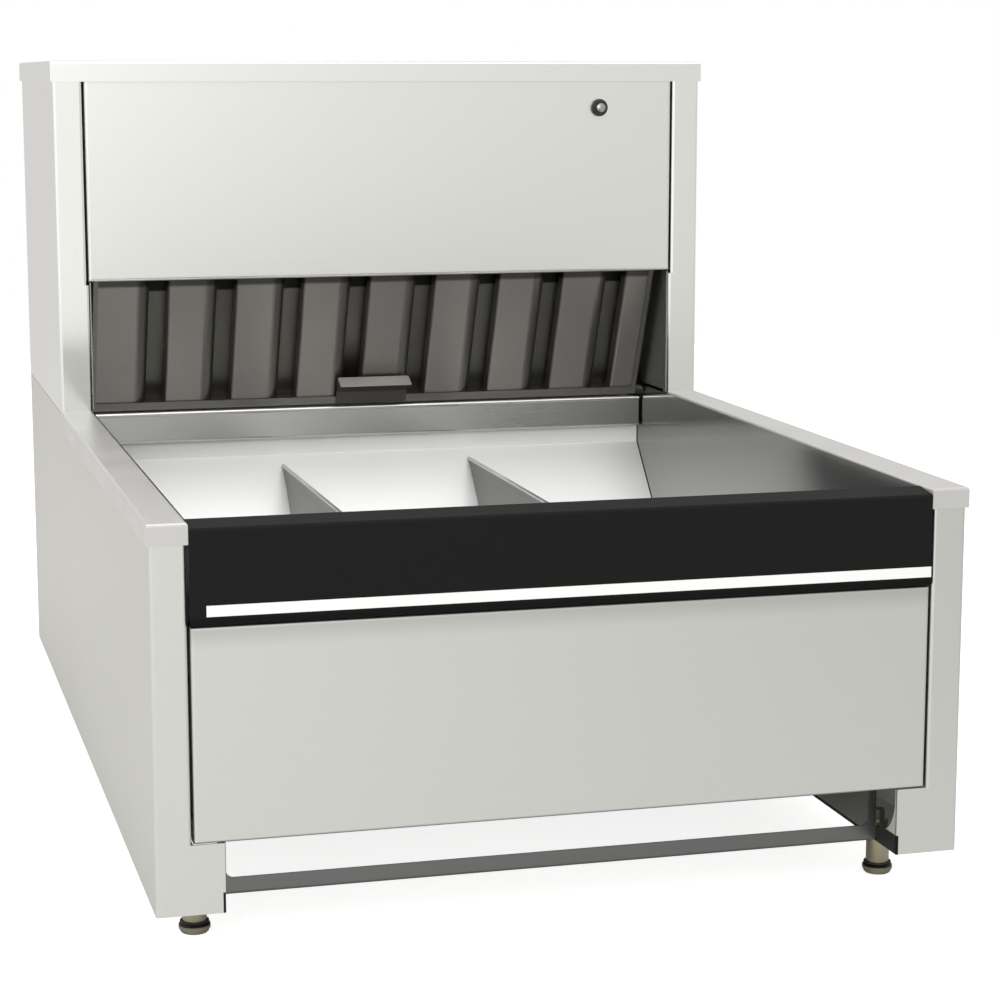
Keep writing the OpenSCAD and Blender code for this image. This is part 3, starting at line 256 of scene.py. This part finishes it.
# Multiplies a material's colour inside a mask
def toned(material, colour, *places):
    tree = material.node_tree
    shader = tree.nodes["Principled BSDF"]
    mix = tree.nodes.new("ShaderNodeMix")
    mix.data_type = "RGBA"
    mix.blend_type = "MULTIPLY"
    mix.inputs["B"].default_value = (*colour, 1)
    tree.links.new(mask(tree, *places), mix.inputs["Factor"])
    tree.links.new(shader.inputs["Base Color"].links[0].from_socket, mix.inputs["A"])
    tree.links.new(mix.outputs["Result"], shader.inputs["Base Color"])


# Lowers a material's Metallic from full by loss inside a mask
def dulled(material, full, loss, *places):
    tree = material.node_tree
    lost = chained_math(tree, "MULTIPLY", loss, mask(tree, *places))
    left = chained_math(tree, "SUBTRACT", full, lost)
    tree.links.new(left, tree.nodes["Principled BSDF"].inputs["Metallic"])


# Gives CAD nodes a finish
def dress(names, material):
    for name in names:
        mesh = nodes[name].data
        mesh.materials.clear()
        mesh.materials.append(material)


side_low, side_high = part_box("side_right")
leg_h = 0.047
leg_top_z = side_low.z + leg_h
fold_shade_top_z = side_low.z + 0.0133
leg_fold_x = side_low.x + 0.0014
inner_side_x = side_high.x - 0.0006
behind_face = ("Y", side_low.y + 0.0018, side_low.y + 0.0024)
below_pan = ("Z", leg_top_z + 0.001, leg_top_z)
low_fold_shade = ("Z", fold_shade_top_z + 0.001, fold_shade_top_z)
for hand, side in (("left", -1), ("right", 1)):
    side_sheet = grained("side_sheet_" + hand, (0.675, 0.68, 0.655), 0.34, (700, 6, 700))
    # Painted shade: the sheet behind its front face a little darker than the front.
    toned(side_sheet, (0.93, 0.92, 0.91), behind_face)
    fold_edge_shade = ("X", side * (leg_fold_x + 0.0005), side * leg_fold_x)
    inner_side = ("X", side * inner_side_x, side * (inner_side_x - 0.0004))
    # Painted shade: the folds behind the legs nearly black.
    toned(side_sheet, (0.02, 0.02, 0.02), fold_edge_shade, low_fold_shade)
    dulled(side_sheet, 1.0, 0.85, inner_side, below_pan, behind_face)
    dress(["side_" + hand], side_sheet)

# Front panel: a shallow pan of the same satin sheet, hung between the columns, with its grain
# across the front. Below the band it is painted greyer as the band's painted shadow, and
# along its lower fold it is painted dark as painted shade.
panel_low, panel_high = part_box("front_panel")
band_shadow_zone = ("Z", panel_high.z - 0.018, panel_high.z - 0.0005)
lower_fold_shade = ("Z", panel_low.z + 0.002, panel_low.z + 0.0006)
panel_sheet = grained("panel_sheet", (0.665, 0.67, 0.645), 0.36, (6, 900, 900))
# Painted shadow of the band, and painted shade along the lower fold.
toned(panel_sheet, (0.80, 0.80, 0.80), band_shadow_zone)
toned(panel_sheet, (0.50, 0.50, 0.50), lower_fold_shade)
dress(["front_panel"], panel_sheet)

# Hood: two folded sides, a pan-shaped cap and the door between the columns, in brighter
# stainless sheet. The column fronts are painted lighter than the sides as painted light, and
# the cap and door are rubbed across.
hood_face_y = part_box("hood_side_right")[0].y
column_front_light = ("Y", hood_face_y + 0.0036, hood_face_y + 0.0016)
hood_sheet = grained("hood_sheet", (0.69, 0.685, 0.665), 0.15, (900, 900, 6))
# Painted light: the column fronts lighter than the sides.
toned(hood_sheet, (1.20, 1.22, 1.21), column_front_light)
dress(["hood_side_left", "hood_side_right"], hood_sheet)
cap_sheet = grained("cap_sheet", (0.79, 0.795, 0.775), 0.32, (6, 1500, 1500), grain=0.04,
                    bump=0.002)
dress(["hood_cap"], cap_sheet)
door_sheet = grained("door_sheet", (0.765, 0.77, 0.74), 0.36, (6, 900, 900))
dress(["hood_door"], door_sheet)

# Deck caps: folded rails of stainless sheet that clip over the top of the side panels. Hands
# and scoops rub them, so their finish is matter and patchier than that of the panels.
rail_sheet = grained("rail_sheet", (0.58, 0.575, 0.56), 0.34, (700, 6, 700), patch_size=14,
                     patchiness=0.22, metallic=0.35)
dress(["deck_cap_left", "deck_cap_right"], rail_sheet)

# Back panels and base pan: plain mill-finish stainless sheet. The two back panels are
# screwed to the folded rear edges of the sides, and the pan closes the base.
mill_sheet = grained("mill_sheet", (0.60, 0.60, 0.585), 0.38, (6, 500, 500))
dress(["hood_back", "base_back", "base_pan"], mill_sheet)

# Cross bars: thin strips with a folded lower edge that tie the legs together at the front
# and the rear, in duller sheet than the casing.
bar_sheet = grained("bar_sheet", (0.18, 0.18, 0.18), 0.36, (6, 500, 500))
dress(["crossbar_front", "crossbar_rear"], bar_sheet)

# Slopes of the well: satin stainless sheet, folded at the front and at the rear to guide the
# chips down. Above the rear bend, where the rear sheet stands upright, both are matt and
# painted a little lighter as painted light.
bend_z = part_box("well_rear")[1].z - 0.0158
upright_matt_and_light = ("Z", bend_z - 0.0013, bend_z + 0.0007)
slope_sheet = grained("slope_sheet", (0.90, 0.90, 0.895), 0.50, (6, 700, 700), patchiness=0.08)
dulled(slope_sheet, 0.7, 0.7, upright_matt_and_light)
# Painted light: the upright strip lightened where the gutter shades it.
toned(slope_sheet, (1.06, 1.06, 1.06), upright_matt_and_light)
dress(["well_rear", "well_front"], slope_sheet)

# Stitch welds that hold the gutter's bracket to the rear slope, ground almost flush. Each is
# a short flat bead on the upright strip just above the bend.
strip_t = 0.001
weld_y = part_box("well_rear")[1].y - strip_t
weld_z = bend_z + 0.0024
weld_size = (0.0135, 0.0008, 0.0014)
weld_edge_r = 0.0003


# Makes an object of a finished shape, and lets it ride on a CAD body
def new_piece(name, bm, material, body):
    bmesh.ops.recalc_face_normals(bm, faces=bm.faces)
    mesh = bpy.data.meshes.new(name)
    bm.to_mesh(mesh)
    bm.free()
    mesh.materials.append(material)
    piece = bpy.data.objects.new(name, mesh)
    bpy.context.scene.collection.objects.link(piece)
    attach(piece, body)


bm = bmesh.new()
for x in (-0.214, -0.152, -0.096, -0.030, 0.058, 0.1225, 0.1613, 0.194):
    place = Matrix.Translation((x, weld_y, weld_z)) @ Matrix.Diagonal((*weld_size, 1))
    bead = bmesh.ops.create_cube(bm, size=1.0, matrix=place)
    edges = {edge for vertex in bead["verts"] for edge in vertex.link_edges}
    bmesh.ops.bevel(bm, geom=list(edges), offset=weld_edge_r, segments=2, profile=0.5,
                    affect="EDGES", material=-1)
weld_metal = grained("weld_metal", (0.96, 0.96, 0.955), 0.40, (300, 300, 300), patch_size=60,
                     metallic=0.3)
new_piece("slope_welds", bm, weld_metal, "cabinet")

# Side walls of the well: flat stainless sheet that stands between the slopes and the
# casing. It is smoother than the slopes, and mirrors them. Its dark tone is painted shade.
wall_sheet = grained("wall_sheet", (0.25, 0.25, 0.248), 0.12, (500, 6, 500), patchiness=0.04,
                     grain=0.04)
dress(["well_wall_left", "well_wall_right"], wall_sheet)

# Dividers: loose satin plates that stand in the grooves of the rails. Their upper edge is
# rolled, and painted bright along it as a painted highlight.
divider_top_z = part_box("divider_left")[1].z
rolled_edge_highlight = ("Z", divider_top_z - 0.0032, divider_top_z - 0.0018)
divider_sheet = grained("divider_sheet", (0.14, 0.14, 0.14), 0.34, (600, 6, 600))
# Painted highlight along the rolled upper edge.
toned(divider_sheet, (4.5, 4.5, 4.5), rolled_edge_highlight)
dress(["divider_left", "divider_right"], divider_sheet)

# Floor of the well: three slotted stainless screens that lie over the crumb tray, and the
# rails in the tray that carry them and the dividers. All of it lifts out for cleaning.
screen_sheet = grained("screen_sheet", (0.66, 0.66, 0.65), 0.30, (6, 600, 600))
dress(["screen_left", "screen_centre", "screen_right"], screen_sheet)
tray_sheet = grained("tray_sheet", (0.52, 0.515, 0.50), 0.34, (6, 500, 500))
dress(["crumb_tray", "tray_rails"], tray_sheet)

# Gutter below the filter: a folded trough of stainless sheet that catches the grease. The
# hem along the top of its face is painted bright as a painted highlight.
hem_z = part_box("filter_gutter")[0].z + 0.0255
hem_highlight = ("Z", hem_z, hem_z + 0.0007)
gutter_sheet = grained("gutter_sheet", (0.61, 0.61, 0.605), 0.26, (6, 600, 600), grain=0.04,
                       bump=0.001)
# Painted highlight along the hem.
toned(gutter_sheet, (1.6, 1.6, 1.59), hem_highlight)
dress(["filter_gutter"], gutter_sheet)

# Plenum behind the filter and air duct behind the well: folded and spot-welded sheet, dulled
# by warm air.
plenum_sheet = grained("plenum_sheet", (0.36, 0.365, 0.34), 0.30, (500, 6, 500))
dress(["plenum_side_left", "plenum_side_right", "plenum_roof", "plenum_back", "air_duct"],
      plenum_sheet)

# Baffle filter: dull warm grey channels in a frame. The rear row is painted darker as painted
# shade, and the tops of the baffles behind the door are painted dark as the door's painted
# shadow. The handle is a brighter strip, folded to a lip, with a painted shadow below the lip.
door_low_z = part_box("hood_door")[0].z
front_door_shadow = ("Z", door_low_z - 0.009, door_low_z - 0.006)
rear_door_shadow = ("Z", door_low_z - 0.014, door_low_z - 0.012)
handle_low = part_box("filter_handle")[0]
handle_plate_shadow = ("Y", handle_low.y + 0.0128, handle_low.y + 0.0138)
lip_shadow_line = ("Z", handle_low.z + 0.0093, handle_low.z + 0.0113)
filter_sheet = grained("filter_sheet", (0.31, 0.295, 0.28), 0.42, (500, 500, 6), patch_size=9,
                       patchiness=0.22)
# Painted shadow of the door's lower edge on the tops of the front baffles.
toned(filter_sheet, (0.30, 0.30, 0.30), front_door_shadow)
dress(["front_baffles"], filter_sheet)
border_sheet = grained("border_sheet", (0.23, 0.22, 0.205), 0.42, (6, 500, 500), patch_size=9,
                       patchiness=0.2)
dress(["filter_frame"], border_sheet)
# Painted shade: the rear row darker than the front, and its tops carry the door's painted
# shadow.
rear_baffle_shade = grained("rear_baffle_shade", (0.15, 0.148, 0.13), 0.45, (400, 400, 6), patch_size=12,
                     patchiness=0.25)
toned(rear_baffle_shade, (0.12, 0.12, 0.12), rear_door_shadow)
dress(["rear_baffles"], rear_baffle_shade)
handle_sheet = grained("handle_sheet", (0.45, 0.43, 0.41), 0.42, (6, 600, 600), metallic=0.2)
# Painted shadow of the lip on the plate below it, darkest just under the lip.
toned(handle_sheet, (0.14, 0.135, 0.125), handle_plate_shadow)
toned(handle_sheet, (0.35, 0.35, 0.35), handle_plate_shadow, lip_shadow_line)
dress(["filter_handle"], handle_sheet)

# Black band over the front of the well: folded sheet with baked paint that has a faint
# orange-peel texture, painted darker towards its foot as painted shade. The stripe on it is
# a white film with a soft gloss.
band_low_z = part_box("front_band")[0].z
band_foot_shade = ("Z", band_low_z + 0.0066, band_low_z + 0.0031)
band_paint = grained("band_paint", (0.0125, 0.0125, 0.0125), 0.52, (900, 900, 900), patch_size=5,
                     patchiness=0.10, grain=0.14, bump=0.05, metallic=0.0, specular=0.05)
# Painted shade: the band darker towards its foot.
toned(band_paint, (0.6, 0.6, 0.6), band_foot_shade)
dress(["front_band"], band_paint)
stripe_film = grained("stripe_film", (0.93, 0.93, 0.925), 0.38, (1200, 1200, 1200), patch_size=8,
                      patchiness=0.06, grain=0.05, bump=0.02, metallic=0.0)
dress(["band_stripe"], stripe_film)

# Feet: turned steel with a brassy plating. A barrel with a nut is fixed under each corner,
# and a tip with a disc screws up into it.
disc_top_z = 0.0049
above_disc = ("Z", disc_top_z, disc_top_z + 0.0006)
foot_plate = grained("foot_plate", (0.40, 0.375, 0.27), 0.36, (60, 60, 900), patch_size=40,
                     patchiness=0.25)
dress(["foot_barrels", "foot_nuts"], foot_plate)
tip_plate = grained("tip_plate", (0.33, 0.315, 0.24), 0.38, (60, 60, 900), patch_size=40,
                    patchiness=0.25)
toned(tip_plate, (0.12, 0.12, 0.13), above_disc)
corners = [end + "_" + hand for end in ("front", "rear") for hand in ("left", "right")]
dress(["foot_tip_" + corner for corner in corners], tip_plate)

# Rubber rings between the foot barrels and their tips, one to each foot. They turn with the
# tips when the feet are set.
ring_r = 0.0092
ring_thick_r = 0.0007
ring_z = 0.0078
rubber = grained("rubber", (0.018, 0.018, 0.018), 0.62, (900, 900, 900), patch_size=90,
                 patchiness=0.15, grain=0.2, bump=0.08, metallic=0.0)
for corner in corners:
    tip_low, tip_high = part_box("foot_tip_" + corner)
    axis_x = (tip_low.x + tip_high.x) / 2
    axis_y = (tip_low.y + tip_high.y) / 2
    bm = bmesh.new()
    section = Matrix.Translation((ring_r, 0, ring_z)) @ Matrix.Rotation(pi / 2, 4, "X")
    bmesh.ops.create_circle(bm, cap_ends=False, segments=10, radius=ring_thick_r, matrix=section)
    bmesh.ops.spin(bm, geom=bm.verts[:] + bm.edges[:], axis=(0, 0, 1), cent=(0, 0, 0),
                   angle=2 * pi, steps=40, use_merge=True)
    bmesh.ops.translate(bm, verts=bm.verts, vec=(axis_x, axis_y, 0))
    for face in bm.faces:
        face.smooth = True
    new_piece("foot_ring_" + corner, bm, rubber, corner + "_foot")

# Power switch: a black moulded housing that a nut holds in the door, and a polished domed
# button. The other black mouldings share its plastic.
black_mould = grained("black_mould", (0.016, 0.016, 0.016), 0.30, (2500, 2500, 2500),
                      patch_size=60, patchiness=0.10, grain=0.16, bump=0.06, metallic=0.0)
dress(["switch_housing", "terminal_block", "limit_thermostat", "cord_gland"], black_mould)
button_chrome = grained("button_chrome", (0.42, 0.43, 0.43), 0.12, (300, 300, 300),
                        patch_size=80, patchiness=0.05, grain=0.04)
dress(["switch_button"], button_chrome)

# Terminal screws: slotted cheese heads of brass, one in each pit of the terminal block. Each
# head is two half discs on a thin round base, which leaves the driver slot between them.
block_low, block_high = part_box("terminal_block")
terminal_n = 6
terminal_pitch = (block_high.x - block_low.x) / terminal_n
terminal_y = (block_low.y + block_high.y) / 2
pit_z = block_high.z - 0.0099
head_r = 0.0027
head_h = 0.0016
base_t = 0.0008
slot_half = 0.00035


# Extrudes every face of a flat shape by a vector
def thickened(shape, vec):
    raised = bmesh.ops.extrude_face_region(shape, geom=shape.faces[:])["geom"]
    risen = [part for part in raised if isinstance(part, bmesh.types.BMVert)]
    bmesh.ops.translate(shape, vec=vec, verts=risen)


# Adds a finished shape to a larger bmesh and frees it
def add_to(whole, shape):
    mesh = bpy.data.meshes.new("shape")
    shape.to_mesh(mesh)
    shape.free()
    whole.from_mesh(mesh)
    bpy.data.meshes.remove(mesh)


bm = bmesh.new()
for number in range(terminal_n):
    terminal_x = block_low.x + (number + 0.5) * terminal_pitch
    place = Matrix.Translation((terminal_x, terminal_y, pit_z))
    bmesh.ops.create_cone(bm, cap_ends=True, segments=28, radius1=head_r, radius2=head_r,
                          depth=base_t, matrix=place @ Matrix.Translation((0, 0, base_t / 2)))
    for side in (-1, 1):
        half = bmesh.new()
        bmesh.ops.create_circle(half, cap_ends=True, segments=28, radius=head_r)
        bmesh.ops.bisect_plane(half, geom=half.verts[:] + half.edges[:] + half.faces[:],
                               plane_co=(0, side * slot_half, 0), plane_no=(0, side, 0),
                               clear_inner=True)
        thickened(half, (0, 0, head_h))
        bmesh.ops.transform(half, verts=half.verts,
                            matrix=place @ Matrix.Translation((0, 0, base_t - 0.0001)))
        bmesh.ops.recalc_face_normals(half, faces=half.faces)
        add_to(bm, half)
screw_brass = grained("screw_brass", (0.72, 0.56, 0.27), 0.32, (900, 900, 900), patch_size=120,
                      patchiness=0.3)
new_piece("terminal_screws", bm, screw_brass, "cabinet")

# Cross recesses in the twelve screws of the back panels: crosses at the middle of the pan
# heads, where the driver sits, painted dark as painted shade. Each panel has three screws
# down each edge.
recess_half = 0.0018
recess_arm = recess_half / 3 * 1.2
recess_deep = 0.00014
screw_x = side_high.x - 0.011
screw_in_z = 0.018
head_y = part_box("panel_screws")[1].y
screw_rows = []
for panel in ("base_back", "hood_back"):
    low_z, high_z = (corner.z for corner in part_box(panel))
    screw_rows += [low_z + screw_in_z, (low_z + high_z) / 2, high_z - screw_in_z]
bm = bmesh.new()
for x in (-screw_x, screw_x):
    for z in screw_rows:
        cross = bmesh.new()
        bmesh.ops.create_grid(cross, x_segments=3, y_segments=3, size=recess_half)
        middles = [(face, face.calc_center_median()) for face in cross.faces]
        spare = [face for face, at in middles if min(abs(at.x), abs(at.y)) > recess_arm]
        bmesh.ops.delete(cross, context="FACES", geom=spare)
        thickened(cross, (0, 0, recess_deep))
        place = Matrix.Translation((x, head_y - recess_deep / 2, z))
        bmesh.ops.transform(cross, verts=cross.verts,
                            matrix=place @ Matrix.Rotation(-pi / 2, 4, "X"))
        add_to(bm, cross)
# Painted shade: the recesses coloured near black.
recess_shade = grained("recess_shade", (0.03, 0.03, 0.03), 0.6, (900, 900, 900), patch_size=90,
                       metallic=0.0)
new_piece("screw_recesses", bm, recess_shade, "cabinet")

# Blower: a galvanised scroll and wheel, a painted motor and a ground steel shaft, behind the
# plenum's back wall. Small plated fittings share the scroll's zinc, and the thermostat's case
# the motor's paint.
zinc_coat = grained("zinc_coat", (0.60, 0.62, 0.62), 0.36, (90, 90, 90), patch_size=35,
                    patchiness=0.42, grain=0.22, bump=0.04)
dress(["blower_scroll", "scroll_back", "blower_wheel", "heater_flange", "panel_screws",
       "switch_nut"], zinc_coat)
motor_paint = grained("motor_paint", (0.05, 0.052, 0.055), 0.48, (700, 700, 700), patch_size=18,
                      patchiness=0.16, grain=0.18, bump=0.10, metallic=0.0)
dress(["blower_motor", "thermostat"], motor_paint)
shaft_steel = grained("shaft_steel", (0.62, 0.62, 0.61), 0.18, (1500, 40, 1500))
dress(["motor_shaft"], shaft_steel)

# Heating elements: bent tubes of stainless steel on a flange at the right of the duct, with
# the dull oxide that heat leaves on them.
element_oxide = grained("element_oxide", (0.12, 0.105, 0.095), 0.50, (14, 400, 400),
                        patch_size=22, patchiness=0.35, metallic=0.8)
dress(["heater_elements"], element_oxide)

# Leads behind the door, from the switch to the terminal block: copper wire in smooth black
# sleeving.
sleeving = grained("sleeving", (0.022, 0.022, 0.024), 0.40, (1500, 1500, 1500), patch_size=50,
                   patchiness=0.12, grain=0.15, bump=0.05, metallic=0.0)
dress(["wiring"], sleeving)

# Insulation beside and under the well: pale board of pressed wool with loose fibres, held
# between the well and the casing.
wool = grained("wool", (0.72, 0.66, 0.42), 0.92, (260, 420, 340), patch_size=30, patchiness=0.5,
               grain=0.9, bump=0.6, metallic=0.0, specular=0.2)
dress(["insulation"], wool)
